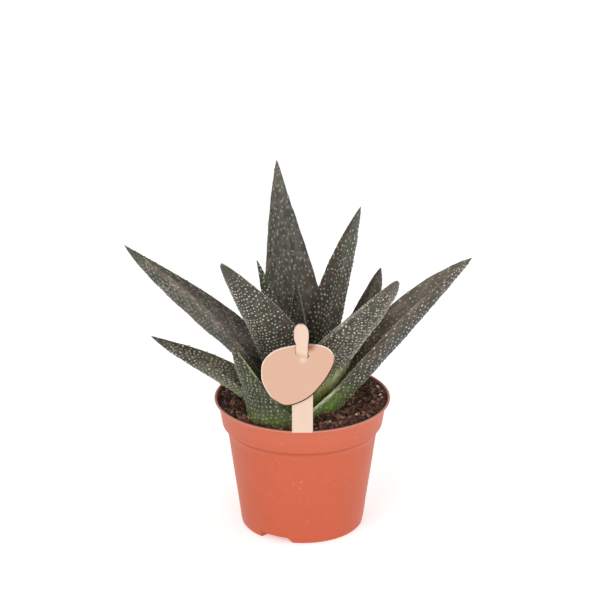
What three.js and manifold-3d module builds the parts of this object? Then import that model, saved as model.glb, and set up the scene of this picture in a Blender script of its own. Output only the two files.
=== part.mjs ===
// A haworthia in a 9 cm nursery pot: the moulded pot, its peat, the plant's short stem, a rosette
// of fourteen tuberculate leaves, and a birch label stick that carries a disc of kraft card.
// Millimetres, +Z up. The pot stands on z = 0 with its axis on Z, and the label faces -Y.

import * as THREE from 'three';
import { mergeVertices } from 'three/addons/utils/BufferGeometryUtils.js';
import Module from 'manifold-3d';

const wasm = await Module();
wasm.setup();

const DEG = Math.PI / 180;
const GAP = 0.3; // clearance between a piece and the neighbour that it lies against
const TURN_SEGMENTS = 40; // facets round the pot and the peat

// ---------------------------------------------------------------- driving dimensions

const POT = {
  height: 69,
  rimRadius: 45,
  rimInnerRadius: 42.8,
  rimEdge: 0.7, // height of the lip's upright outer edge
  lipDrop: 2.2, // the lip's underside meets the collar this far below the rim
  collarTopRadius: 42.9,
  collarFootRadius: 41.1,
  collarDepth: 13.5, // from the rim to where the collar starts to turn in
  bodyDepth: 18.2, // from the rim to the top of the tapered body
  bodyTopRadius: 37.9,
  bodyFootRadius: 31.45,
  baseRadius: 30,
  baseRound: 2.2,
  wall: 1.1,
  floor: 1.4,
};

// Drain channels moulded up into the pot's foot, seen as notches in its lower edge
const DRAIN = {
  centres: [-114.5, 5.5, 125.5], // degrees from +X; the first shows left of the front
  span: 29,
  innerRadius: 19,
  height: 3,
  roof: 1.2,
  holeRadius: 2.6,
  holeAt: 24.5,
};

const PEAT = {
  top: 65.4,
  bottom: 4.6,
  rings: [36.5, 30, 23.5, 17, 10.5], // radii of the upper surface's rings
  swell: 0.7, // height of the gentle unevenness
  crumbSize: 1.3,
  crumbRise: 1.0,
  crumbShare: 0.4, // share of the surface's facets that carry a crumb
  edge: 41.2, // radius of the upper surface
};

// The rosette's axis, a little in front of the pot's own
const CROWN = { x: -1, y: -5 };
const STEM = { bottom: 50, top: 68.4, neckRadius: 5, footRadius: 9 };

// The warts that stand on every leaf: one for each so many square millimetres, over this reach
const TUBERCLE = { radius: 0.85, rise: 0.65, each: 60, from: 0.15, to: 0.97 };

// Leaves, the innermost first. Angles are in degrees: azimuth from +X, with the change towards
// the tip (sweep) and the sideways bow at mid length; rise above the horizontal at the foot and
// at the tip, with the lift at mid length; and roll about the leaf's own line. Width and
// thickness are the largest ones, and taper shapes the outline: width x (1 - t^a)^b.
// foot is the distance from the rosette's axis and the height where the leaf starts.
const LEAVES = [
  { name: 'leaf_heart', azimuth: 101, sweep: 3, bow: 0, rise: [87, 79.5], lift: 0, roll: [0, -1],
    length: 62.5, width: 17, taper: [2.1, 0.85], thickness: 5, foot: [2, 67.5] },
  { name: 'leaf_back_left', azimuth: 133, sweep: 0, bow: -4, rise: [69, 60.5], lift: 7, roll: [0, -5],
    length: 76, width: 15.5, taper: [1.85, 0.95], thickness: 8, foot: [5.5, 65] },
  { name: 'leaf_back_right', azimuth: 27, sweep: -6, bow: 3, rise: [87, 60], lift: 9, roll: [3, -4],
    length: 108.5, width: 27, taper: [1.95, 0.95], thickness: 11, foot: [6, 65.5] },
  { name: 'leaf_small_right', azimuth: 20, sweep: 0, bow: -2, rise: [59, 63], lift: 2, roll: [-1, 0],
    length: 80, width: 17.5, taper: [2, 0.85], thickness: 11, foot: [7, 65] },
  { name: 'leaf_tall_back', azimuth: 97, sweep: 7, bow: 8, rise: [79, 74], lift: -7, roll: [-4, 6],
    length: 124.5, width: 38, taper: [1.6, 0.95], thickness: 9, foot: [6, 65.5] },
  { name: 'leaf_front_right', azimuth: -39, sweep: -4, bow: -6, rise: [76, 56.5], lift: -13, roll: [-17, -5],
    length: 107, width: 33, taper: [2.25, 0.5], thickness: 6.5, foot: [4.5, 67.5] },
  { name: 'leaf_front_left', azimuth: 222, sweep: 4, bow: 13, rise: [87, 49], lift: -4, roll: [-2, 6],
    length: 113.5, width: 31.5, taper: [2.2, 0.85], thickness: 10.5, foot: [6, 67] },
  { name: 'leaf_long_left', azimuth: 171, sweep: 3, bow: -6, rise: [71, 32], lift: -2, roll: [-5, 18],
    length: 124, width: 33, taper: [2.05, 1.05], thickness: 12.5, foot: [3.5, 63.5] },
  { name: 'leaf_long_right', azimuth: 2, sweep: 2, bow: 4, rise: [60, 25.5], lift: 12, roll: [-7, 18],
    length: 115.5, width: 25, taper: [2, 0.9], thickness: 14, foot: [6.5, 63] },
  { name: 'leaf_low_back', azimuth: 100, sweep: 0, bow: 0, rise: [55, 28], lift: 0, roll: [0, 0],
    length: 64, width: 26, taper: [1.9, 1], thickness: 8, foot: [8, 62] },
  { name: 'leaf_low_back_right', azimuth: 62, sweep: 0, bow: 0, rise: [52, 24], lift: 0, roll: [0, 0],
    length: 62, width: 24, taper: [1.9, 1], thickness: 8, foot: [8, 62] },
  { name: 'leaf_low_back_left', azimuth: 146, sweep: 0, bow: 0, rise: [52, 26], lift: 0, roll: [0, 0],
    length: 60, width: 24, taper: [1.9, 1], thickness: 8, foot: [8, 62] },
  { name: 'leaf_low_left', azimuth: 197, sweep: -3, bow: -9, rise: [61, 25], lift: 0, roll: [-12, 0],
    length: 87.5, width: 28, taper: [1.75, 1.15], thickness: 8.5, foot: [8, 58.5] },
  { name: 'leaf_short_front', azimuth: 228, sweep: -6, bow: -5, rise: [53, 59.5], lift: 3, roll: [9, -7],
    length: 64.5, width: 32.5, taper: [2.25, 0.7], thickness: 6, foot: [15, 56.5] },
];
const LEAF_STATIONS = 14; // rings along a leaf
const LEAF_CROWDING = 1.5; // above 1, rings lie closer together towards the tip
const LEAF_SIDES = 10; // points round each ring
const LEAF_BLUNT = 0.7; // least width and thickness, at the very tip
const CHANNEL = 0.22; // depth of the upper side's channel, as a share of the thickness

const STICK = {
  width: 10.5,
  thickness: 1.6,
  front: -45.8, // y of the front face, just proud of the pot's lip
  foot: 56, // the tongue's lower end, in the peat
  shoulder: 104, // where the blade narrows to the neck
  neckWidth: 5.8,
  neckTop: 118,
  headWidth: 7.4,
  headTop: 129.2,
  tongueThickness: 1.2, // the tongue runs down behind the pot's lip
  step: 2.8, // how far the neck comes forward through the disc's slit
  slit: 111.8, // height of the slit
  lean: -0.7, // sideways drift of the head
};

const DISC = { front: -46.95, thickness: 0.9, slitTilt: -0.36 };

// ---------------------------------------------------------------- helpers

// Repeatable random numbers from 0 to 1
function seeded(seed) {
  let state = seed >>> 0;
  return () => {
    state = (state + 0x6d2b79f5) >>> 0;
    let t = state;
    t = Math.imul(t ^ (t >>> 15), t | 1);
    t ^= t + Math.imul(t ^ (t >>> 7), t | 61);
    return ((t ^ (t >>> 14)) >>> 0) / 4294967296;
  };
}

// A closed geometry as a solid, with shared vertices merged and zero-width triangles left out
function solid(geometry) {
  const bare = geometry.clone();
  bare.deleteAttribute('normal');
  bare.deleteAttribute('uv');
  const merged = mergeVertices(bare, 1e-4);
  const index = merged.index.array;
  const triangles = [];
  for (let i = 0; i < index.length; i += 3) {
    const [a, b, c] = [index[i], index[i + 1], index[i + 2]];
    if (a !== b && b !== c && c !== a) triangles.push(a, b, c);
  }
  return new wasm.Manifold(new wasm.Mesh({
    numProp: 3,
    vertProperties: new Float32Array(merged.attributes.position.array),
    triVerts: new Uint32Array(triangles),
  }));
}

function geometryOf(body) {
  const mesh = body.getMesh();
  const geometry = new THREE.BufferGeometry();
  geometry.setAttribute('position', new THREE.BufferAttribute(new Float32Array(mesh.vertProperties), 3));
  geometry.setIndex(Array.from(mesh.triVerts));
  geometry.computeVertexNormals();
  return geometry;
}

// The biggest piece of a solid, without the scraps that a cut leaves
function largest(body) {
  const welded = solid(geometryOf(body));
  return welded.decompose().reduce((a, b) => (b.volume() > a.volume() ? b : a));
}

// A profile of [radius, height] pairs turned about the Z axis
function turned(profile, segments = TURN_SEGMENTS) {
  const points = profile.map(([r, z]) => new THREE.Vector2(r, z));
  return new THREE.LatheGeometry(points, segments).rotateX(Math.PI / 2);
}

// An outline of [x, z] pairs pushed along Y, from y = near to y = far
function pushedBack(outline, near, far) {
  const shape = new THREE.Shape(outline.map(([x, z]) => new THREE.Vector2(x, z)));
  const geometry = new THREE.ExtrudeGeometry(shape, { depth: far - near, bevelEnabled: false });
  return geometry.rotateX(Math.PI / 2).translate(0, far, 0);
}

// An outline of [y, z] pairs pushed along X, over the given half width
function pushedAcross(outline, halfWidth) {
  const shape = new THREE.Shape(outline.map(([y, z]) => new THREE.Vector2(y, z)));
  const geometry = new THREE.ExtrudeGeometry(shape, { depth: 2 * halfWidth, bevelEnabled: false });
  return geometry.rotateX(Math.PI / 2).rotateZ(Math.PI / 2).translate(-halfWidth, 0, 0);
}

// Raises a small three-sided peak in the middle of each triangle that pick accepts
function raisePeaks(points, triangles, pick, radius, rise) {
  const out = [];
  const peaks = points.slice();
  for (const [a, b, c] of triangles) {
    const corners = [points[a], points[b], points[c]];
    const size = pick(corners, [a, b, c]);
    if (!size) {
      out.push([a, b, c]);
      continue;
    }
    const middle = new THREE.Vector3();
    corners.forEach((p) => middle.addScaledVector(p, 1 / 3));
    const normal = new THREE.Triangle(...corners).getNormal(new THREE.Vector3());
    const spread = corners.reduce((sum, p) => sum + p.distanceTo(middle) / 3, 0);
    const share = Math.min(0.8, (radius * size) / spread);
    const first = peaks.length;
    corners.forEach((p) => peaks.push(middle.clone().lerp(p, share)));
    peaks.push(middle.clone().addScaledVector(normal, rise * size));
    [a, b, c].forEach((corner, i) => {
      const next = (i + 1) % 3;
      out.push([corner, [a, b, c][next], first + next]);
      out.push([corner, first + next, first + i]);
      out.push([first + i, first + next, first + 3]);
    });
  }
  return [peaks, out];
}

function meshGeometry(points, triangles) {
  const geometry = new THREE.BufferGeometry().setFromPoints(points);
  geometry.setIndex(triangles.flat());
  return geometry;
}

// ---------------------------------------------------------------- pot

function potSection(inset, floor, top) {
  const p = POT;
  const h = p.height;
  return [
    [0, floor],
    [p.baseRadius - inset, floor],
    [p.bodyFootRadius - inset, floor + p.baseRound],
    [p.bodyTopRadius - inset, h - p.bodyDepth],
    [(p.bodyTopRadius + p.collarFootRadius) / 2 + 0.2 - inset, h - (p.bodyDepth + p.collarDepth) / 2],
    [p.collarFootRadius - inset, h - p.collarDepth],
    ...top,
  ];
}

const POT_CAVITY = potSection(POT.wall, POT.floor, [
  [POT.collarTopRadius - POT.wall - 0.1, POT.height - 3.5],
  [POT.rimInnerRadius, POT.height],
  [POT.rimInnerRadius, POT.height + 1],
  [0, POT.height + 1],
]);

// A sector of the pot's foot, from an inner radius out past the wall
function drainSector(centre, widen, innerRadius, outerRadius, low, high) {
  const half = (DRAIN.span / 2) * DEG + widen / outerRadius;
  const shape = new THREE.Shape();
  shape.absarc(0, 0, outerRadius, centre * DEG - half, centre * DEG + half, false);
  shape.absarc(0, 0, innerRadius, centre * DEG + half, centre * DEG - half, true);
  shape.closePath();
  const settings = { depth: high - low, bevelEnabled: false, curveSegments: 6 };
  return solid(new THREE.ExtrudeGeometry(shape, settings).translate(0, 0, low));
}

function makePot() {
  const h = POT.height;
  const outer = potSection(0, 0, [
    [POT.collarTopRadius, h - POT.lipDrop],
    [POT.rimRadius, h - POT.rimEdge],
    [POT.rimRadius, h],
    [0, h],
  ]);
  let pot = solid(turned(outer)).subtract(solid(turned(POT_CAVITY)));
  const roofTop = DRAIN.height + DRAIN.roof;
  for (const centre of DRAIN.centres) {
    const inner = DRAIN.innerRadius - DRAIN.roof;
    pot = pot.add(drainSector(centre, DRAIN.roof, inner, POT.baseRadius - 0.4, 0.2, roofTop));
    pot = pot.subtract(drainSector(centre, 0, DRAIN.innerRadius, POT.baseRadius + 4, -1, DRAIN.height));
    const hole = new THREE.CylinderGeometry(DRAIN.holeRadius, DRAIN.holeRadius, 3, 12).rotateX(Math.PI / 2);
    hole.translate(DRAIN.holeAt * Math.cos(centre * DEG), DRAIN.holeAt * Math.sin(centre * DEG), roofTop);
    pot = pot.subtract(solid(hole));
  }
  return pot;
}

// ---------------------------------------------------------------- stem and leaves

function stemSolid(grow) {
  const s = STEM;
  const profile = [
    [0, s.bottom - grow],
    [s.footRadius - 0.5 + grow, s.bottom - grow],
    [s.footRadius + grow, s.bottom + 7],
    [s.neckRadius + 1 + grow, s.top - 6],
    [s.neckRadius + grow, s.top - 1],
    [s.neckRadius - 1.5 + grow, s.top + grow],
    [0, s.top + 0.6 + grow],
  ];
  return solid(turned(profile, 16).translate(CROWN.x, CROWN.y, 0));
}

// The leaf's line: for each ring its centre and the directions along, across and up through it
function leafRings(leaf, stations) {
  const substeps = 8;
  const count = (stations - 1) * substeps;
  const frame = (t) => {
    const hump = 4 * t * (1 - t);
    const azimuth = (leaf.azimuth + leaf.sweep * t + leaf.bow * hump) * DEG;
    const rise = (leaf.rise[1] + (leaf.rise[0] - leaf.rise[1]) * (1 - t) ** 2 + leaf.lift * hump) * DEG;
    const roll = THREE.MathUtils.lerp(leaf.roll[0], leaf.roll[1], t) * DEG;
    const out = new THREE.Vector3(Math.cos(azimuth), Math.sin(azimuth), 0);
    const along = out.clone().multiplyScalar(Math.cos(rise)).setZ(Math.sin(rise));
    const level = out.clone().multiplyScalar(-Math.sin(rise)).setZ(Math.cos(rise));
    const side = along.clone().cross(level);
    const up = level.clone().multiplyScalar(Math.cos(roll)).addScaledVector(side, Math.sin(roll));
    return { along, up, across: along.clone().cross(up) };
  };
  const point = new THREE.Vector3(leaf.foot[0], 0, leaf.foot[1]);
  point.applyAxisAngle(new THREE.Vector3(0, 0, 1), leaf.azimuth * DEG);
  point.add(new THREE.Vector3(CROWN.x, CROWN.y, 0));
  const rings = [];
  for (let i = 0; i <= count; i++) {
    const t = 1 - (1 - i / count) ** LEAF_CROWDING;
    const next = 1 - Math.max(0, 1 - (i + 1) / count) ** LEAF_CROWDING;
    const here = frame(t);
    if (i % substeps === 0) rings.push({ t, centre: point.clone(), ...here });
    point.addScaledVector(here.along, ((next - t) * leaf.length) / 2);
    point.addScaledVector(frame(next).along, ((next - t) * leaf.length) / 2);
  }
  return rings;
}

// Height of the leaf's skin above its margins, as a share of its thickness: channelled above,
// keeled below. s runs from -1 to 1 across the leaf.
function skin(angle) {
  const s = Math.cos(angle);
  const inside = Math.max(0, 1 - s * s);
  const rounding = 0.1 * Math.sqrt(inside);
  return Math.sin(angle) > 1e-9 ? rounding - CHANNEL * inside : -rounding - 0.9 * (1 - Math.abs(s) ** 1.7);
}

function leafWidth(leaf, t) {
  return leaf.width * (1 - t ** leaf.taper[0]) ** leaf.taper[1];
}

// The leaf's cross-section as [across, up] pairs in turn, grown outwards by a margin
function leafSection(width, thickness, grow) {
  const ring = [];
  for (let k = 0; k < LEAF_SIDES; k++) {
    const angle = (2 * Math.PI * k) / LEAF_SIDES;
    ring.push(new THREE.Vector2((Math.cos(angle) * width) / 2, skin(angle) * thickness));
  }
  const outwards = ring.map((point, k) => {
    const edge = ring[(k + 1) % LEAF_SIDES].clone().sub(point).normalize();
    return new THREE.Vector2(edge.y, -edge.x);
  });
  return ring.map((point, k) => {
    const mitre = outwards[k].clone().add(outwards[(k + LEAF_SIDES - 1) % LEAF_SIDES]);
    return point.clone().addScaledVector(mitre, (2 * grow) / Math.max(0.64, mitre.lengthSq()));
  });
}

function leafSolid(leaf, grow, seed) {
  const rings = leafRings(leaf, LEAF_STATIONS);
  const points = [];
  for (const { t, centre, along, across, up } of rings) {
    const width = Math.max(leafWidth(leaf, t), LEAF_BLUNT);
    const plump = ((1 - t ** 2.2) ** 0.9 * (0.55 + 0.9 * t)) / 0.8;
    const thickness = Math.max(leaf.thickness * plump, LEAF_BLUNT);
    for (const offset of leafSection(width, thickness, grow)) {
      const point = centre.clone().addScaledVector(across, offset.x).addScaledVector(up, offset.y);
      if (t === 0) point.addScaledVector(along, -grow);
      points.push(point);
    }
  }
  const last = rings[rings.length - 1];
  const foot = points.push(rings[0].centre.clone().addScaledVector(rings[0].along, -grow)) - 1;
  const tip = points.push(last.centre.clone().addScaledVector(last.along, 0.5 + grow)) - 1;
  const sides = [];
  const ends = [];
  for (let k = 0; k < LEAF_SIDES; k++) {
    const next = (k + 1) % LEAF_SIDES;
    for (let i = 0; i < rings.length - 1; i++) {
      const a = i * LEAF_SIDES;
      const b = a + LEAF_SIDES;
      sides.push([a + k, b + next, a + next], [a + k, b + k, b + next]);
    }
    const end = (rings.length - 1) * LEAF_SIDES;
    ends.push([foot, k, next], [tip, end + next, end + k]);
  }
  const random = seeded(seed);
  const pick = (corners, triangle) => {
    const draw = random();
    const i = Math.floor(Math.min(...triangle) / LEAF_SIDES);
    const { t } = rings[i];
    const patch = (leafWidth(leaf, t) * leaf.length * (rings[i + 1].t - t)) / LEAF_SIDES;
    const bare = t < TUBERCLE.from || t > TUBERCLE.to;
    return bare || draw > patch / TUBERCLE.each ? 0 : 0.8 + 2 * draw;
  };
  const radius = TUBERCLE.radius + 4 * grow;
  const [studded, faces] = raisePeaks(points, sides, pick, radius, TUBERCLE.rise + grow);
  return solid(meshGeometry(studded, faces.concat(ends)));
}

// Every leaf ends at the peat, and gives way to the stem and to the younger leaves that it clasps
function makeLeaves() {
  const ground = new THREE.BoxGeometry(200, 200, 100).translate(0, 0, PEAT.top + GAP - 50);
  const taken = [solid(ground), stemSolid(GAP)];
  return LEAVES.map((leaf, i) => {
    let body = leafSolid(leaf, 0, 100 + i);
    for (const neighbour of taken) body = body.subtract(neighbour);
    taken.push(leafSolid(leaf, GAP, 100 + i));
    return { name: leaf.name, body: largest(body) };
  });
}

// Whether a point of the peat's surface lies under a leaf's foot, or close to one
function underLeaf(point) {
  return LEAVES.some((leaf) => leafRings(leaf, LEAF_STATIONS * 2).some(({ centre, across }) => {
    if (Math.abs(centre.z - PEAT.top) > 5) return false;
    const reach = across.clone().multiplyScalar(leaf.width / 2 + 2);
    const edge = new THREE.Line3(centre.clone().sub(reach).setZ(0), centre.clone().add(reach).setZ(0));
    const flat = point.clone().setZ(0);
    return edge.closestPointToPoint(flat, true, new THREE.Vector3()).distanceTo(flat) < 5;
  }));
}

// ---------------------------------------------------------------- label

function makeStick() {
  const s = STICK;
  const half = s.width / 2;
  const neck = s.neckWidth / 2;
  const head = s.headWidth / 2;
  const top = s.headTop;
  const front = [
    [-half, s.foot],
    [half, s.foot],
    [half, s.shoulder],
    [neck, s.shoulder + 5],
    [neck, s.neckTop],
    [head - 0.2, s.neckTop + 2.4],
    [head, top - 5.4],
    [head - 0.6, top - 2.4],
    [head - 1.8, top - 0.8],
    [0, top],
  ];
  const mirrored = front.slice(2, -1).reverse().map(([x, z]) => [-x, z]);
  const lean = (z) => (s.lean * Math.max(0, z - s.shoulder)) / (top - s.shoulder);
  const outline = front.concat(mirrored).map(([x, z]) => [x + lean(z), z]);
  const face = solid(pushedBack(outline, s.front - 6, s.front + 10));
  const back = s.front + s.thickness;
  const rim = POT.height;
  const tip = s.front - s.step;
  const tongueFront = [[-39.3, s.foot - 1], [-40.7, rim - 3], [-42.1, rim]];
  const tongueBack = tongueFront.map(([y, z]) => [y + s.tongueThickness, z]).reverse();
  const side = [
    [s.front, rim],
    [s.front, s.slit - 1.4],
    [tip, s.slit + 1.4],
    [tip, top + 2],
    [tip + 1.3, top + 2],
    [tip + 1.3, s.slit + 2.6],
    [back, s.slit - 0.5],
    [back, rim + 5.5],
    ...tongueBack,
    ...tongueFront,
  ];
  const profile = pushedAcross(side, s.width);
  const at = profile.attributes.position;
  for (let i = 0; i < at.count; i++) {
    const nearSlit = Math.abs(at.getZ(i) - s.slit) < 4;
    if (nearSlit) at.setZ(i, at.getZ(i) + DISC.slitTilt * at.getX(i));
  }
  return face.intersect(solid(profile));
}

// The disc's pebble outline, through points on its edge
function discOutline() {
  const edge = [
    [-3.8, 116.9], [-13.6, 114.2], [-19.4, 108.4], [-20.5, 102], [-19.5, 95.8], [-14.2, 87.2],
    [-7.2, 84], [2.8, 88.1], [10.3, 96.2], [15.2, 104.8], [16.2, 109.7], [13.1, 115.1], [5.7, 117.6],
  ];
  const curve = new THREE.CatmullRomCurve3(edge.map(([x, z]) => new THREE.Vector3(x, z, 0)), true);
  return curve.getPoints(52).slice(0, -1).map((p) => [p.x, p.y]);
}

function makeDisc() {
  const plate = solid(pushedBack(discOutline(), DISC.front, DISC.front + DISC.thickness));
  const low = STICK.slit - 1.8;
  const high = STICK.slit + 2.7;
  const [left, right] = [-3.7, 3];
  const tilt = (x, z) => [x, z + DISC.slitTilt * x];
  const slit = [tilt(left, low), tilt(right, low), tilt(right, high), tilt(left, high)];
  return plate.subtract(solid(pushedBack(slit, DISC.front - 1, DISC.front + 2)));
}

// ---------------------------------------------------------------- peat

function makePeat(holes) {
  const wall = POT_CAVITY.slice(2, 6).map(([r, z]) => [r - GAP, z]);
  const profile = [[0, PEAT.bottom], [wall[0][0], PEAT.bottom], ...wall.slice(1), [PEAT.edge, PEAT.top]];
  for (const radius of PEAT.rings) profile.push([radius, PEAT.top]);
  profile.push([0, PEAT.top]);
  const base = geometryOf(solid(turned(profile)));
  const at = base.attributes.position;
  const points = [];
  for (let i = 0; i < at.count; i++) {
    const point = new THREE.Vector3().fromBufferAttribute(at, i);
    const onTop = point.z > PEAT.top - 0.1 && Math.hypot(point.x, point.y) > 12;
    const waves = Math.sin(point.x * 0.31 + 1.7) + Math.cos(point.y * 0.37 - point.x * 0.17);
    if (onTop && !underLeaf(point)) point.z += (PEAT.swell / 2) * waves;
    points.push(point);
  }
  const index = base.index.array;
  const triangles = [];
  for (let i = 0; i < index.length; i += 3) triangles.push([index[i], index[i + 1], index[i + 2]]);
  const random = seeded(7);
  const pick = (corners) => {
    const draw = random();
    const onTop = corners.every((p) => p.z > PEAT.top - 2);
    return onTop && draw < PEAT.crumbShare && !corners.some(underLeaf) ? 0.6 + draw * 3 : 0;
  };
  const [crumbed, faces] = raisePeaks(points, triangles, pick, PEAT.crumbSize, PEAT.crumbRise);
  let peat = solid(meshGeometry(crumbed, faces));
  for (const hole of holes) peat = peat.subtract(hole);
  return largest(peat);
}

// The stick's tongue with clearance all round, as the hole that it leaves in the peat
function tongueHole() {
  const half = STICK.width / 2 + GAP;
  const low = STICK.foot - GAP;
  const outline = [[-half, low], [half, low], [half, POT.height], [-half, POT.height]];
  return solid(pushedBack(outline, -42.6, -37.8));
}

// ---------------------------------------------------------------- assembly

const finishes = {
  pot: { color: '#d2664a', roughness: 0.5, metalness: 0 },
  peat: { color: '#3a251c', roughness: 0.95, metalness: 0 },
  leaf: { color: '#4b5344', roughness: 0.6, metalness: 0 },
  stem: { color: '#5d7440', roughness: 0.7, metalness: 0 },
  birch: { color: '#efd6c1', roughness: 0.7, metalness: 0 },
  card: { color: '#d9b295', roughness: 0.85, metalness: 0 },
};

const plant = new THREE.Group();

function addPiece(name, body, finish) {
  const mesh = new THREE.Mesh(geometryOf(body), new THREE.MeshStandardMaterial(finishes[finish]));
  mesh.name = name;
  plant.add(mesh);
}

const leaves = makeLeaves();
addPiece('pot', makePot(), 'pot');
addPiece('peat', makePeat([stemSolid(GAP), tongueHole()]), 'peat');
addPiece('stem', stemSolid(0), 'stem');
for (const leaf of leaves) addPiece(leaf.name, leaf.body, 'leaf');
addPiece('label_stick', makeStick(), 'birch');
addPiece('label_disc', makeDisc(), 'card');

export default plant;
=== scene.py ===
import math
import random

import bpy
from bpy.props import FloatProperty, FloatVectorProperty, IntProperty, PointerProperty
from mathutils import Matrix, Vector, noise


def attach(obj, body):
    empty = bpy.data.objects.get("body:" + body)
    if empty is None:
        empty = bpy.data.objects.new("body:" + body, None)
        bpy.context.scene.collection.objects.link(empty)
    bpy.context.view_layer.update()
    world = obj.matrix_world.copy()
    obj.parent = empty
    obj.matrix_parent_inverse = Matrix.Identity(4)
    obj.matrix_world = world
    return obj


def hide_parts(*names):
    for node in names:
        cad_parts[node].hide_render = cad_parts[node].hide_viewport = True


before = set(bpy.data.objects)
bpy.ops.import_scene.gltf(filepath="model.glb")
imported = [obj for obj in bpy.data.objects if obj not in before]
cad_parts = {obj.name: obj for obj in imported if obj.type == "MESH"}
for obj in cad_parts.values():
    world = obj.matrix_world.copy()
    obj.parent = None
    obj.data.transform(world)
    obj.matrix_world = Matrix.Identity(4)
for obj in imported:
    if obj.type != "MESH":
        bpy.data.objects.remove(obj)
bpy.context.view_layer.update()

bl_info = {
    "name": "Potted haworthia",
    "version": (1, 0, 0),
    "blender": (4, 5, 0),
    "location": "3D View > Sidebar > Plant",
    "description": "A warty-leaved haworthia in a nursery pot with a stick label",
    "category": "Add Mesh",
}

MM = 0.001
ROOT = "root"

# ---- the plant's own shapes

CROWN = (-1.0, -5.0)  # the rosette's axis, which stands a little in front of the pot's own
CHANNEL = 0.22  # depth of the channel in a leaf's upper side, as a share of its thickness
KEEL = 1.7  # how sharply the under side is keeled
MARGIN = 0.1  # half of the thickness of a leaf's margins, as a share of its own
RIPPLE = (0.35, 0.13)  # height of a leaf's soft swells, and how many of them fit in a millimetre
FINE_RIPPLE = (0.12, 0.45)
ROOT_END = 63.0  # height in the peat at which a leaf's skin ends, if its foot is higher
FRESH_FROM = 67.0  # height at which the fresh green bases start to fade
LAST_WART = 0.975  # the share of a leaf's length beyond which no row of warts starts
WART_SUNK = 0.06
PEARL = "#d9d5c3"  # a wart's top
FRESH_PEARL = "#cdd39a"  # the same on a fresh base
EDGE_TONE = "#7d7768"
TIP_TONE = "#75695a"

# One entry per leaf, in millimetres and degrees. Its plus side lies 90 degrees clockwise of it.
#   azimuth, sweep, bow: where it points at its foot, what that gains by the tip, and its side bend
#   stands: where round the crown its foot stands, if not below its azimuth
#   rise, lift: slope at the foot and at the tip, and what more it has in the middle
#   roll, clasp: turn about its own line at the foot and at the tip; what more the foot has, and the
#     share of the length over which that fades
#   foot: distance from the crown's axis, and height
#   taper: two powers that draw the outline, fuller as the first grows and the second shrinks
#   blunt, lean: how round the tip is, and how much thinner the foot is than the rest
#   swell, flare: what more the plus and the minus half have about the middle; the same at the foot,
#     and the share of the length over which that fades
#   green: how far up the fresh base reaches
#   mottle: strength of the pale cells, the brown clouds, the green clouds and the net of wrinkles
#   warts: for the upper, then the under side, the step between rows, the step in a row, and a wart's
#     width, length for its width and whiteness
#   beads: share of the places on its edges that have a wart, which grows where this is over 1
#   bare: share at the tip over which the warts fade
#   arch, loose, gaps: how many steps high a row arches, how untidy it is, how often it breaks off
#   zones: washes of colour: side (1 is the upper), middle and half width across, start and end
#     along, colour and share
PLAIN_LEAF = dict(
    sweep=0, bow=0, lift=0, roll=(0, 0), clasp=(0, 0.2), blunt=0, swell=(0, 0), flare=(0, 0, 0.3),
    lean=0, fresh="#5f7a34", bare=0.04, arch=1.1, loose=0.2, gaps=0.1, zones=())
LOW_LEAF = dict(
    foot=(8, 62), width=24, taper=(1.9, 1), thickness=8, lower="#484c40", green=14,
    warts=((2.6, 2.3, 0.9, 1.2, 0.7), (2.3, 2.1, 0.95, 1.2, 0.9)), beads=0.7)
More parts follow.
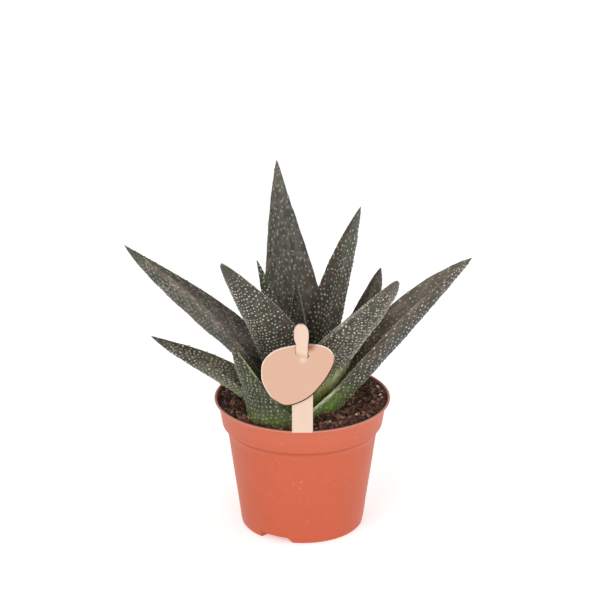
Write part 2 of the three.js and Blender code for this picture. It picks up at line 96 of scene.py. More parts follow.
LEAVES = {
    "heart": dict(
        azimuth=101, sweep=3, rise=(87, 79.5), roll=(0, -1), foot=(2, 67.5), length=62.5, width=14,
        taper=(2.1, 0.85), thickness=5, upper="#35362b", lower="#3a3d2e", green=8,
        mottle=(0.3, 0.5, 0.4, 0), warts=((2.3, 2.2, 0.65, 1.2, 0.6), (2.2, 2, 0.8, 1.2, 0.8)), beads=1.3,
        arch=0.6,
        zones=((1, 0.97, 0.1, 0, 1, "#a3a97c", 0.9),)),
    "back_left": dict(
        azimuth=141, sweep=5, bow=-5, rise=(73.5, 65), lift=7, roll=(-24, -30), foot=(5.5, 65),
        length=77.5, width=15, taper=(1.85, 0.95), thickness=7, blunt=0.3, upper="#3d4235",
        lower="#414738", green=10, mottle=(0.3, 0.3, 0.6, 0),
        warts=((2.2, 2, 0.95, 1.2, 0.85), (2.3, 2.2, 0.85, 1.2, 0.85)), beads=1.3,
        zones=((1, 0.95, 0.15, 0, 0.9, "#7f8270", 0.4),)),
    "back_right": dict(
        azimuth=27, sweep=-6, bow=3, rise=(87, 60), lift=9, roll=(3, -4), foot=(6, 65.5), length=108.5,
        width=27, taper=(1.95, 0.95), thickness=11, blunt=0.3, swell=(0, 0.06), flare=(-0.4, 0, 0.4),
        upper="#4f463b", lower="#57574e", green=26, mottle=(0.35, 0.6, 0.7, 0.1),
        warts=((2.7, 2.9, 1.35, 0.85, 0.7), (2.4, 2.2, 1, 1.2, 0.8)), beads=0.2, bare=0.1,
        zones=((1, 0.5, 0.3, 0.15, 0.85, "#61655f", 0.6), (1, 0.2, 0.6, 0.82, 1, "#6d6657", 0.7),
               (1, 0.4, 0.9, 0, 0.35, "#3a4227", 0.65))),
    "small_right": dict(
        azimuth=20, bow=-2, rise=(59, 63), lift=2, roll=(-1, 0), foot=(7, 65), length=80, width=18.5,
        taper=(2.9, 0.82), thickness=11, blunt=0.9, upper="#4a3b2e", lower="#46392d", green=10,
        mottle=(0.2, 0.9, 0.4, 0.1), warts=((3, 2.8, 0.7, 1.1, 0.45), (2.8, 2.6, 0.8, 1.1, 0.6)),
        beads=0.1,
        zones=((1, 0.4, 0.6, 0.5, 1, "#55563a", 0.75),)),
    "tall_back": dict(
        azimuth=97, sweep=7, bow=8, rise=(79, 74), lift=-7, roll=(-4, 6), foot=(6, 65.5), length=124.5,
        width=40, taper=(1.47, 0.95), thickness=9, blunt=0.3, swell=(0.08, 0.02), upper="#4b4841",
        lower="#4c4f44", green=16, mottle=(0.8, 0.25, 0.3, 0),
        warts=((2.75, 2.3, 0.98, 1.6, 0.42), (2.6, 2.3, 0.9, 1.2, 0.8)), beads=0.9, loose=0.45, gaps=0.9,
        zones=((1, -0.75, 0.4, 0.4, 0.95, "#524a40", 0.5), (1, 0.85, 0.35, 0.05, 0.5, "#524739", 0.6),
               (1, 0, 1.1, 0.9, 1, "#686055", 0.6))),
    "front_right": dict(
        azimuth=-39, sweep=-4, bow=-6, rise=(76, 56.5), lift=-13, roll=(-17, -5), foot=(4.5, 67.5),
        length=107, width=33, taper=(2.25, 0.5), thickness=6.5, flare=(0.6, 0.6, 0.3), upper="#5a5248",
        lower="#3a3a32", fresh="#b4c065", green=34, mottle=(0.4, 0.35, 0.3, 0.35),
        warts=((2.6, 2.2, 0.85, 1.2, 0.7), (2.5, 1.75, 1, 0.9, 0.88)), beads=1.4, bare=0.08, arch=0.5,
        loose=0.4, gaps=0.4,
        zones=((-1, -0.85, 0.28, 0.2, 0.95, "#857c6e", 0.8), (-1, 0.97, 0.06, 0.3, 1, "#8a8172", 0.8),
               # the dark green wash at the foot by the plus margin is painted shade, and the pale wash after
               # it at the foot is painted light
               (-1, 0.95, 0.4, -0.1, 0.2, "#2f3a20", 0.6), (-1, -0.75, 0.45, -0.1, 0.22, "#d8dca6", 0.8),
               (-1, 0, 1.1, 0.9, 1, "#4b4136", 0.85))),
    "front_left": dict(
        azimuth=222, sweep=4, bow=13, rise=(87, 49), lift=-4, roll=(-2, 6), foot=(6, 69), length=113.5,
        width=31.5, taper=(2.2, 0.78), thickness=10.5, blunt=1.5, swell=(0, 0.26), upper="#45463e",
        lower="#37362f", green=14, mottle=(0.3, 0.45, 0.5, 0.1),
        warts=((2.4, 2.1, 0.9, 1.2, 0.8), (2.55, 1.5, 0.93, 0.95, 0.9)), beads=1.2, bare=0.06, arch=-1.3,
        gaps=0.25,
        zones=((-1, 0, 1.1, 0.9, 1, "#3d392d", 0.8), (-1, 0.5, 0.6, 0, 0.4, "#3d4a28", 0.5))),
    "long_left": dict(
        azimuth=171, sweep=3, bow=-6, rise=(71, 32), lift=-2, roll=(-5, 18), foot=(3.5, 63.5), length=124,
        width=33, taper=(2.05, 1.05), thickness=12.5, blunt=0.3, lean=0.15, upper="#43372e",
        lower="#3f413e", green=12, mottle=(0.3, 0.5, 0.6, 1),
        warts=((3.3, 4, 1.3, 0.9, 0.5), (2.3, 2.1, 0.86, 1.2, 0.55)), beads=0.3, bare=0.1, gaps=0.7,
        zones=((-1, -0.96, 0.14, 0.35, 0.85, "#75655a", 0.6), (1, -0.95, 0.1, 0.35, 0.85, "#6f5f54", 0.5),
               (-1, -0.5, 0.3, 0.42, 0.85, "#3c4043", 0.7), (-1, 0, 1.1, 0, 0.3, "#463e34", 0.6),
               (-1, 0.05, 0.35, 0.2, 0.9, "#54453b", 0.7), (-1, 0, 1.1, 0.88, 1, "#464238", 0.8))),
    "long_right": dict(
        azimuth=2, sweep=2, bow=4, rise=(58, 28.5), lift=10, roll=(-7, 18), clasp=(-15, 0.22),
        foot=(6.5, 63), length=115.5, width=25, taper=(2, 0.9), thickness=14, blunt=0.3,
        flare=(0.5, 0.3, 0.16), upper="#564b3f", lower="#35372f", fresh="#7d9f3d", green=20,
        mottle=(0.4, 0.6, 0.5, 0.6), warts=((3.1, 4.6, 1.5, 0.7, 0.55), (2.45, 2.3, 0.98, 1.15, 0.85)),
        beads=0.35,
        zones=((1, 0.97, 0.06, 0.2, 0.8, "#75675a", 0.7), (-1, 0.99, 0.012, 0.1, 0.75, "#88826c", 0.7),
               (-1, 0.975, 0.035, -0.1, 0.12, "#e6eaca", 1), (-1, 0.1, 0.3, 0.3, 1, "#5c4e43", 0.5),
               (-1, 0.5, 0.25, 0.25, 0.9, "#33373a", 0.75), (-1, 0.85, 0.14, 0.3, 1, "#423830", 0.7),
               # the last wash, pale over the upper side's foot, is painted light
               (1, 0, 1.1, 0.6, 1, "#7a7062", 0.75), (1, 0, 1.1, -0.1, 0.1, "#bcc37c", 0.85))),
    "low_back": dict(
        LOW_LEAF, azimuth=100, rise=(55, 28), length=64, width=26, upper="#46463a",
        mottle=(0.4, 0.5, 0.5, 0)),
    "low_back_right": dict(
        LOW_LEAF, azimuth=62, rise=(52, 24), length=62, upper="#474236", mottle=(0.4, 0.6, 0.5, 0)),
    "low_back_left": dict(
        LOW_LEAF, azimuth=141, rise=(56, 32), length=58, upper="#464438", mottle=(0.4, 0.5, 0.6, 0)),
    "low_left": dict(
        azimuth=197, sweep=-3, bow=-9, rise=(61, 25), roll=(-12, 0), foot=(8, 58.5), length=87.5,
        width=28, taper=(1.75, 1.15), thickness=8.5, blunt=0.4, upper="#756e59", lower="#474636",
        green=22, mottle=(0.5, 0.3, 0.5, 0.1),
        warts=((2.3, 3.1, 1.5, 0.75, 0.85), (2, 1.8, 0.98, 1.25, 0.7)), beads=0.3, bare=0.12,
        zones=((-1, 0, 1.1, 0.72, 1, "#302e23", 0.9), (1, 0, 1.1, 0.72, 1, "#302e23", 0.9),
               (-1, -0.2, 0.4, -0.1, 0.5, "#6c5d38", 0.6))),
    "short_front": dict(
        azimuth=223, stands=238, sweep=-6, bow=-5, rise=(53, 59.5), lift=3, roll=(9, -7), clasp=(7, 0.5),
        foot=(14, 56.5), length=64.5, width=32.5, taper=(2.25, 0.7), thickness=6, blunt=0.2,
        flare=(0.08, 0.6, 0.55), lean=-1.4, upper="#4b4f33", lower="#363a1d", fresh="#566b2a", green=14,
        mottle=(0.4, 0.1, 0.5, 0.1), warts=((2.4, 2.1, 0.85, 1.2, 0.6), (2.2, 2, 1, 1.2, 0.45)),
        beads=0.5,
        zones=((-1, 0.97, 0.06, 0.72, 1, "#a0a564", 0.85), (-1, -0.97, 0.06, 0.78, 1, "#a0a564", 0.85),
               (-1, 0, 0.9, 0.45, 1, "#293014", 0.95))),
}

# The pot's outside from the foot up, then its inside back down: radius and height
POT_OUTSIDE = [
    (0.0, 0.0), (29.6, 0.0), (30.5, 0.25), (31.1, 0.9), (31.45, 2.2), (33.0, 14.0), (35.15, 29.0),
    (37.85, 48.6), (38.25, 51.0), (38.6, 51.9), (39.25, 52.8), (39.75, 53.6), (40.5, 54.7),
    (41.0, 55.4), (41.2, 56.3), (42.0, 61.3), (42.75, 65.4), (42.95, 66.4), (43.3, 66.9),
    (44.0, 67.55), (44.65, 67.95), (44.95, 68.3), (45.0, 68.6), (44.8, 68.9), (44.4, 69.0),
]
POT_INSIDE = [
    (44.1, 69.0), (43.85, 68.85), (43.6, 68.3), (42.5, 65.5), (41.3, 60.0), (40.2, 55.5),
    (38.7, 53.4), (37.0, 51.0), (30.4, 3.4), (29.4, 1.6), (0.0, 1.4),
]

# Drain channels in the pot's foot: degrees from +X to the middle of each
DRAINS = (-114.5, 5.5, 125.5)
DRAIN_ROOF = (17.8, 29.4, 0.6, 4.4)  # what closes a channel: inner and outer radius, foot and top
DRAIN_ROOM = (19.0, 34.0, -1.0)  # the hollow under it: inner and outer radius and foot
DRAIN_HOLE = (24.5, 3.0, 2.6)  # distance of a hole from the axis, its middle's height, its radius

PEAT_TOP = 65.5  # height of the peat where it lies level
PEAT_SIDE = [(0.0, 4.7), (30.2, 4.7), (36.6, 50.7), (38.3, 53.3), (39.6, 55.6), (40.5, 60.2)]

# The pale crumbs and perlite grains that lie in the open: colour, then x, y and radius of each
PALE_CRUMBS = {
    "#a58066": ((19.2, -21.5, 1.6), (21.4, -20.8, 1.1), (24.2, -23.0, 1.0), (22.6, -24.4, 1.2),
                (-27.0, -27.5, 1.2), (-22.0, -32.0, 1.1), (-20.4, -33.2, 0.9)),
    "#8c6751": ((18.0, -23.4, 1.2), (17.4, -20.0, 1.0), (-29.5, -24.5, 0.9), (-25.8, -28.8, 0.9)),
    "#bd977c": ((20.6, -23.0, 1.3), (12.6, -26.6, 1.3), (11.2, -27.8, 0.9), (40.8, -1.4, 0.7),
                (-17.4, -34.0, 1.0), (-24.5, -30.0, 1.0), (-29.2, -26.4, 0.8)),
    "#e3dcd0": ((27.6, -21.0, 1.1), (13.9, -27.6, 1.0), (39.0, 12.5, 0.8), (39.8, 6.0, 0.8),
                (39.8, 1.6, 0.85), (-7.6, -24.8, 1.0)),
}
CRUMB_TONES = ("#2d1b14", "#42271c", "#593425", "#6d4233", "#855546", "#20140f", "#9a7160", "#633c2d")
FIBRE_TONES = ("#8a6656", "#6f4a3c", "#a58471", "#4f3226", "#b79a86")
PERLITE_TONES = ("#e6e0d6", "#d8cfc2", "#c9b8a6")

DISC_FRONT = -46.95
DISC_DEPTH = 0.9
EDGE_BAND = 0.8  # width of the strip round its face that may take the edge's colour
EDGE_ROUND = 0.43

# The card disc's edge, as seen from the front: x and z
DISC_EDGE = [
    (-3.8, 116.9), (-13.6, 114.2), (-19.4, 108.4), (-20.5, 102.0), (-19.5, 95.8), (-14.2, 87.2),
    (-7.2, 84.0), (2.8, 88.1), (10.3, 96.2), (15.2, 104.8), (16.2, 109.7), (13.1, 115.1),
    (5.7, 117.6),
]
SLIT = (-0.3, 112.5, 3.1, 1.9)  # x and z of its middle, and half of its width and height
SLIT_TILT = -0.36  # the disc hangs askew, so its slit drops to the right

# The label stick from its foot to its head: height, middle, half width, and y of its front face
STICK = [
    (69.0, 0.05, 5.15, -45.8), (69.4, 0.05, 5.25, -45.8), (90.0, 0.05, 5.25, -45.8),
    (104.0, 0.05, 5.25, -45.8), (108.0, -0.1, 3.8, -45.8), (110.2, -0.25, 2.95, -45.95),
    (111.6, -0.3, 2.88, -46.9), (113.2, -0.35, 2.9, -48.2), (115.0, -0.33, 2.92, -48.6),
    (118.0, -0.18, 2.92, -48.6), (119.0, -0.3, 3.15, -48.6), (120.2, -0.48, 3.5, -48.6),
    (121.5, -0.54, 3.68, -48.6), (124.2, -0.55, 3.7, -48.6), (125.7, -0.62, 3.5, -48.6),
    (126.9, -0.7, 3.08, -48.6), (128.0, -0.78, 2.35, -48.6), (128.7, -0.85, 1.5, -48.6),
    (129.05, -0.87, 0.6, -48.6),
]
ROUNDING = 0.3  # from 0 for sharp edges to 1 for an oval section
STICK_DEPTH = 1.6
NECK_DEPTH = 1.3
TONGUE_DEPTH = 1.2

# The stick's foot in the peat: height, half width, and y of its front face
TONGUE = [(56.0, 4.9, -39.35), (61.0, 5.1, -40.0), (66.0, 5.2, -40.65), (69.0, 5.2, -42.0),
          (71.5, 5.2, -44.0)]


# ---- small helpers

MARK_FIELDS = {"FLOAT": "value", "FLOAT_VECTOR": "vector", "FLOAT_COLOR": "color"}


def linear(code):
    """An sRGB hex colour as linear RGBA."""
    channels = [int(code[i:i + 2], 16) / 255 for i in (1, 3, 5)]
    return tuple(c / 12.92 if c <= 0.04045 else ((c + 0.055) / 1.055) ** 2.4 for c in channels) + (1.0,)


def blend(a, b, share):
    """A colour between two others."""
    return tuple(x + (y - x) * share for x, y in zip(a, b))


def smooth_step(low, high, value):
    share = min(1.0, max(0.0, (value - low) / (high - low)))
    return share * share * (3 - 2 * share)


def between(table, value):
    """The row of a table at a value of its first column, worked out between its rows."""
    for lower, upper in zip(table, table[1:]):
        if value <= upper[0]:
            share = (value - lower[0]) / (upper[0] - lower[0])
            return [a + (b - a) * share for a, b in zip(lower, upper)]
    return list(table[-1])


def deselect_all():
    if bpy.context.mode != "OBJECT":
        bpy.ops.object.mode_set(mode="OBJECT")
    bpy.ops.object.select_all(action="DESELECT")


def make_active(piece):
    deselect_all()
    piece.select_set(True)
    bpy.context.view_layer.objects.active = piece


def add_piece(primitive, **settings):
    """Adds a primitive with nothing else selected."""
    deselect_all()
    primitive(**settings)
    return bpy.context.active_object


def edit(piece, mode="VERT", action="SELECT"):
    """Goes into edit mode on one piece, with all or nothing of it selected."""
    make_active(piece)
    bpy.ops.object.mode_set(mode="EDIT")
    bpy.ops.mesh.select_mode(type=mode)
    bpy.ops.mesh.select_all(action=action)


def edit_where(piece, mode, elements, test):
    """Goes into edit mode on one piece, with the edges or faces selected that pass a test."""
    edit(piece, mode, "DESELECT")
    bpy.ops.object.mode_set(mode="OBJECT")
    for element in elements:
        element.select = test(element)
    bpy.ops.object.mode_set(mode="EDIT")


def weld(piece):
    """Merges the doubles of a skin and turns its faces outwards."""
    edit(piece)
    bpy.ops.mesh.remove_doubles(threshold=0.002 * MM)
    bpy.ops.mesh.normals_make_consistent(inside=False)
    bpy.ops.object.mode_set(mode="OBJECT")


def apply_modifier(piece, kind, **settings):
    make_active(piece)
    modifier = piece.modifiers.new(kind.title(), kind)
    for name, value in settings.items():
        setattr(modifier, name, value)
    bpy.ops.object.modifier_apply(modifier=modifier.name)


def cut(piece, cutter, operation="DIFFERENCE"):
    apply_modifier(piece, "BOOLEAN", object=cutter, operation=operation, solver="EXACT")
    bpy.data.objects.remove(cutter)


def shade(piece, degrees):
    make_active(piece)
    bpy.ops.object.shade_smooth_by_angle(angle=math.radians(degrees))


def join_to(piece, other):
    """Joins another piece to one, which keeps its name."""
    make_active(piece)
    other.select_set(True)
    bpy.ops.object.join()


def settle(piece, name, slot, material, *nodes):
    """Names a finished piece, and gives it its body, finish and the solids it stands for. Its slot is not
    used.
    """
    piece.name = name
    piece.data.name = name
    piece.data.materials.clear()
    piece.data.materials.append(material)
    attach(piece, ROOT)
    if nodes:
        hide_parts(*nodes)


def mark(piece, name, kind, values):
    """Stores an attribute, which has one value for each point of a piece."""
    layer = piece.data.attributes.new(name, kind, "POINT")
    layer.data.foreach_set(MARK_FIELDS[kind], [part for value in values for part in value])


def wrap_grid(around, along, place, marks=None):
    """Rolls a grid into a closed skin. place(u, v) takes both of its coordinates from 0 to 1, and
    marks gives each attribute to store its kind and the function of u and v that works it out."""
    piece = add_piece(bpy.ops.mesh.primitive_grid_add, x_subdivisions=around, y_subdivisions=along, size=2)
    spots = [((vertex.co.x + 1) / 2, (vertex.co.y + 1) / 2) for vertex in piece.data.vertices]
    for name, (kind, value) in (marks or {}).items():
        mark(piece, name, kind, [value(*spot) for spot in spots])
    for vertex, spot in zip(piece.data.vertices, spots):
        vertex.co = place(*spot)
    weld(piece)
    edit(piece, action="DESELECT")
    bpy.ops.mesh.select_non_manifold()
    bpy.ops.mesh.fill()
    weld(piece)
    return piece


def spin_profile(profile, steps):
    """Turns an open profile of (radius, height) about the Z axis."""
    last = len(profile) - 1
    piece = add_piece(bpy.ops.mesh.primitive_circle_add, vertices=len(profile), radius=1)
    for vertex, (radius, height) in zip(piece.data.vertices, profile):
        vertex.co = Vector((radius, 0, height)) * MM
    edit_where(piece, "EDGE", piece.data.edges, lambda edge: set(edge.vertices) == {0, last})
    bpy.ops.mesh.delete(type="EDGE")
    bpy.ops.mesh.select_all(action="SELECT")
    bpy.ops.mesh.spin(steps=steps, angle=math.tau, center=(0, 0, 0), axis=(0, 0, 1))
    weld(piece)
    return piece


def scatter(template, places, tints):
    """Copies a small template to many places in one mesh. Each place is a matrix, and each tint
    gives a colour to each point of its copy."""
    points = [vertex.co for vertex in template.data.vertices]
    faces = [tuple(face.vertices) for face in template.data.polygons]
    all_points = []
    all_faces = []
    for place in places:
        first = len(all_points)
        all_points.extend(place @ point for point in points)
        all_faces.extend(tuple(first + i for i in face) for face in faces)
    piece = bpy.data.objects.new("copies", bpy.data.meshes.new("copies"))
    piece.data.from_pydata(all_points, [], all_faces)
    mark(piece, "tint", "FLOAT_COLOR", [colour for tint in tints for colour in tint])
    bpy.context.collection.objects.link(piece)
    return piece


# ---- materials

def add_node(tree, kind, inputs=None, **settings):
    """Adds a shader node with its settings, and gives back its outputs. What goes into each of its
    inputs is a value or the output of another node."""
    node = tree.nodes.new("ShaderNode" + kind)
    for name, value in settings.items():
        setattr(node, name, value)
    for name, value in (inputs or {}).items():
        if isinstance(value, bpy.types.NodeSocket):
            tree.links.new(value, node.inputs[name])
        else:
            node.inputs[name].default_value = value
    return node.outputs


def new_material(name):
    """A material with nothing in its node tree, and that tree."""
    material = bpy.data.materials.new(name)
    material.use_nodes = True
    material.node_tree.nodes.clear()
    return material, material.node_tree


def finish(material, inputs, height=None, depth_mm=0.0, strength=1.0):
    """Gives a material its shader, with fine relief of a real depth where it has a height."""
    tree = material.node_tree
    if height is not None:
        bump = {"Height": height, "Distance": depth_mm * MM, "Strength": strength}
        inputs = {**inputs, "Normal": add_node(tree, "Bump", bump)["Normal"]}
    shader = add_node(tree, "BsdfPrincipled", inputs)
    add_node(tree, "OutputMaterial", {"Surface": shader["BSDF"]})
    return material


def pattern(tree, kind, size_mm, inputs, stretch=(1, 1, 1), vector=None, **settings):
    """A texture with features of a real size, on the piece's own coordinates or on others."""
    if vector is None:
        vector = add_node(tree, "TexCoord")["Object"]
    mapped = add_node(tree, "Mapping", {"Vector": vector, "Scale": stretch})["Vector"]
    size = {"Vector": mapped, "Scale": 1 / (size_mm * MM)}
    return add_node(tree, kind, {**size, **inputs}, **settings)


def grain(tree, size_mm, detail=3.0, roughness=0.55, stretch=(1, 1, 1), vector=None):
    """Soft lumps of a real size."""
    inputs = {"Detail": detail, "Roughness": roughness}
    return pattern(tree, "TexNoise", size_mm, inputs, stretch, vector)["Fac"]


def away_from(tree, *place_mm):
    """How far each point is from a place on the piece."""
    place = tuple(part * MM for part in place_mm)
    here = add_node(tree, "TexCoord")["Object"]
    return add_node(tree, "VectorMath", {0: here, 1: place}, operation="DISTANCE")["Value"]


def wash(tree, colour, *layers):
    """Lays colours over one another. A layer is a colour, its pattern, the values at which that
    shows nothing and all of it, and its share, which may be an output too."""
    for code, value, low, high, share in layers:
        cover = add_node(tree, "MapRange", {
            "Value": value, "From Min": low, "From Max": high, "To Max": share})["Result"]
        colour = add_node(tree, "Mix", {0: cover, 6: colour, 7: linear(code)}, data_type="RGBA")[2]
    return colour


def uneven(tree, colour, value, low, high, dark, light):
    """Makes a colour darker where a pattern is low, and lighter where it is high."""
    level = add_node(tree, "MapRange", {
        "Value": value, "From Min": low, "From Max": high, "To Min": dark, "To Max": light})["Result"]
    return add_node(tree, "Mix", {0: 1.0, 6: colour, 7: level}, data_type="RGBA", blend_type="MULTIPLY")[2]


def succulent_skin():
    """Waxy leaf skin: a matt grey-green ground, mottled brown and green, with pale cells that show
    through it, and pearly warts that take their colour straight from the tint."""
    material, tree = new_material("Waxy haworthia skin")
    tint = add_node(tree, "Attribute", attribute_name="tint")
    ground = add_node(tree, "Attribute", attribute_name="ground")["Vector"]
    mottle = add_node(tree, "Attribute", attribute_name="mottle")
    share = add_node(tree, "SeparateColor", {"Color": mottle["Color"]})
    clouds = grain(tree, 3.0, stretch=(1, 0.55, 1), vector=ground)
    flecks = grain(tree, 0.7, detail=2.0, stretch=(1, 0.7, 1), vector=ground)
    rusty = grain(tree, 8.0, stretch=(1, 0.4, 1), vector=ground)
    mossy = grain(tree, 5.0, detail=4.0, stretch=(1, 0.6, 1.3), vector=ground)
    # the cells and the net are finer on the plant, and are drawn as coarse as they have to be to show
    cells = pattern(tree, "TexVoronoi", 2.0, {"Randomness": 0.85}, (1, 0.62, 1), ground,
                    feature="SMOOTH_F1")["Distance"]
    net = pattern(tree, "TexVoronoi", 2.2, {}, (1, 0.5, 1), ground,
                  feature="DISTANCE_TO_EDGE")["Distance"]
    pale = add_node(tree, "Math", {0: share["Red"], 1: 0.42}, operation="MULTIPLY")[0]
    deep = add_node(tree, "Math", {0: mottle["Alpha"], 1: 0.8}, operation="MULTIPLY")[0]
    patchy = add_node(tree, "MapRange", {
        "Value": grain(tree, 7.0, vector=ground), "From Min": 0.42, "From Max": 0.6,
        "To Max": deep})["Result"]
    colour = uneven(tree, tint["Color"], clouds, 0.3, 0.7, 0.62, 1.42)
    colour = uneven(tree, colour, flecks, 0.25, 0.75, 0.84, 1.18)
    colour = wash(tree, colour,
                  ("#4a3a31", rusty, 0.46, 0.66, share["Green"]),
                  ("#465030", mossy, 0.5, 0.68, share["Blue"]),
                  ("#8b8b7a", cells, 0.52, 0.12, pale),
                  ("#9b8d7c", net, 0.12, 0.0, patchy))
    warty = add_node(tree, "Mix", {0: tint["Alpha"], 6: colour, 7: tint["Color"]}, data_type="RGBA")[2]
    matt = add_node(tree, "MapRange", {"Value": clouds, "To Min": 0.5, "To Max": 0.68})["Result"]
    return finish(material, {
        "Base Color": warty, "Roughness": matt, "IOR": 1.4, "Subsurface Weight": 0.05,
        "Subsurface Radius": (0.6, 1.0, 0.3), "Subsurface Scale": 0.8 * MM}, flecks, 0.12, 0.6)


def crown_skin():
    """Pale fleshy crown tissue between the leaf bases."""
    material, tree = new_material("Fleshy stem tissue")
    colour = wash(tree, linear("#6f8148"), ("#8a8f55", grain(tree, 2.0), 0, 1, 1))
    return finish(material, {"Base Color": colour, "Roughness": 0.6}, grain(tree, 0.8), 0.15)


def moulded_pot(settings):
    """Polypropylene, injection moulded and left satin: even, with faint clouds and handling marks, with
    painted shade inside, under the collar and towards the foot, and painted light up the collar and on the
    lip.
    """
    material, tree = new_material("Moulded polypropylene, terracotta")
    place = add_node(tree, "TexCoord")["Object"]
    height = add_node(tree, "SeparateXYZ", {"Vector": place})["Z"]
    level = add_node(tree, "VectorMath", {0: place, 1: (1, 1, 0)}, operation="MULTIPLY")["Vector"]
    normal = add_node(tree, "NewGeometry")["Normal"]
    faces_out = add_node(tree, "VectorMath", {0: level, 1: normal}, operation="DOT_PRODUCT")["Value"]
    dusty = grain(tree, 7.0, detail=6.0, roughness=0.7)
    # a band under the collar, for a painted shadow there and less shine
    above_wall = add_node(tree, "MapRange", {
        "Value": height, "From Min": 52.0 * MM, "From Max": 54.2 * MM})["Result"]
    under_collar = add_node(tree, "MapRange", {
        "Value": height, "From Min": 55.5 * MM, "From Max": 54.7 * MM, "To Max": above_wall})["Result"]
    colour = wash(tree, tuple(settings.colour) + (1.0,),
                  ("#b8573b", grain(tree, 14.0, detail=4.0), 0, 1, 0.5),
                  ("#c98d78", dusty, 0.56, 0.8, 0.22),
                  ("#e59a82", grain(tree, 1.6, detail=1.0), 0.72, 0.78, 0.5),  # pale specks
                  ("#a04a35", grain(tree, 2.1, detail=1.0, stretch=(1, 1.1, 0.9)), 0.27, 0.23, 0.45),
                  ("#64291b", faces_out, -0.008, -0.03, 0.85),  # painted shade on the inside of the wall
                  # painted shadow under the collar
                  ("#933f29", under_collar, 0, 1, 0.4),
                  # painted light: paler up the collar
                  ("#e3a08d", height, 50 * MM, 62 * MM, 0.09),
                  # painted shade: darker towards the foot
                  ("#b4553d", height, 40 * MM, 0, 0.2),
                  ("#dba594", height, 68.2 * MM, 68.8 * MM, 0.55),  # painted highlight along the lip
                  ("#a9705f", away_from(tree, 23.5, -27.5, 30.5), 2.1 * MM, 0.8 * MM, 0.4))
    matt = add_node(tree, "MapRange", {
        "Value": dusty, "From Min": 0.56, "From Max": 0.8, "To Min": 0.42, "To Max": 0.56})["Result"]
    shine = add_node(tree, "MapRange", {"Value": under_collar, "To Min": 0.2, "To Max": 0.02})["Result"]
    return finish(material, {
        "Base Color": colour, "Roughness": matt, "IOR": 1.49, "Specular IOR Level": shine,
        "Subsurface Weight": 0.1, "Subsurface Radius": (1.0, 0.35, 0.2), "Subsurface Scale": 1.2 * MM},
        grain(tree, 0.7, detail=2.0), 0.03)


def loose_peat():
    """Milled peat: dark fibrous crumbs with a rusty cast, darker and lighter in small patches."""
    material, tree = new_material("Milled peat")
    tint = add_node(tree, "Attribute", attribute_name="tint")["Color"]
    colour = uneven(tree, tint, grain(tree, 0.8, detail=4.0), 0, 1, 0.35, 1.65)
    return finish(material, {"Base Color": colour, "Roughness": 0.92}, grain(tree, 0.5, detail=5.0), 0.4)


def birch_veneer(settings):
    """Birch, sliced and stamped: pale pinkish cream with fine straight grain up the stick."""
    material, tree = new_material("Sliced birch")
    # real fibres are too fine to show, so they are drawn 0.7 mm wide
    fibres = grain(tree, 0.7, detail=5.0, stretch=(1, 1, 0.05))
    flame = grain(tree, 5.0, detail=2.0, stretch=(1, 1, 0.25))
    colour = wash(tree, tuple(settings.stick_colour) + (1.0,),
                  ("#d3b29a", fibres, 0, 1, 0.5),
                  ("#ead3c2", flame, 0, 1, 0.35))
    return finish(material, {"Base Color": colour, "Roughness": 0.62}, fibres, 0.05)


def kraft_card(settings):
    """Kraft board: warm buff with fine dark and light fibres, a reddish-brown patch beside the neck, painted
    shade at the slit's end and a painted highlight below the slit.
    """
    material, tree = new_material("Kraft board")
    # real fibres are too fine to show, so they are drawn 0.5 mm wide
    fibres = grain(tree, 0.5, detail=5.0, roughness=0.75)
    colour = wash(tree, tuple(settings.card_colour) + (1.0,),
                  ("#bd9077", fibres, 0.48, 0.72, 1),
                  ("#e8c9b2", fibres, 0.42, 0.24, 1),
                  ("#cda184", grain(tree, 5.0), 0, 1, 0.3),
                  ("#a05c48", away_from(tree, 3.6, -46.9, 116.4), 3.6 * MM, 0.9 * MM, 1),  # a reddish-brown patch beside the neck
                  ("#3a1c12", away_from(tree, 2.7, -46.9, 111.2), 0.9 * MM, 0.4 * MM, 1),  # painted shade at the slit's end
                  # painted highlight below the slit
                  ("#ecd2bf", away_from(tree, 0.4, -46.9, 109.3), 2.6 * MM, 0.4 * MM, 0.55))
    return finish(material, {"Base Color": colour, "Roughness": 0.85}, fibres, 0.06)


def cut_kraft():
    """The cut edge of kraft board: pale cream as painted light, and darkened by its edge attribute, as
    painted shade at the lower right and in a reddish-brown patch beside the neck.
    """
    material, tree = new_material("Kraft board, laser cut")
    dark_edge = add_node(tree, "Attribute", attribute_name="dark_edge")["Fac"]
    # pale cream is painted light; the darkening at the lower right is painted shade
    colour = wash(tree, linear("#f3dfce"), ("#4f2a20", dark_edge, 0, 1, 1))
    return finish(material, {"Base Color": colour, "Roughness": 0.8}, grain(tree, 0.4), 0.05)


def studio_floor(settings):
    """Matt white acrylic of a light table, faintly lit from below."""
    material, _ = new_material("Light table acrylic")
    return finish(material, {
        "Base Color": tuple(settings.floor_colour) + (1.0,), "Roughness": 0.9,
        "Emission Color": (1, 1, 1, 1), "Emission Strength": settings.floor_glow})


# ---- leaves

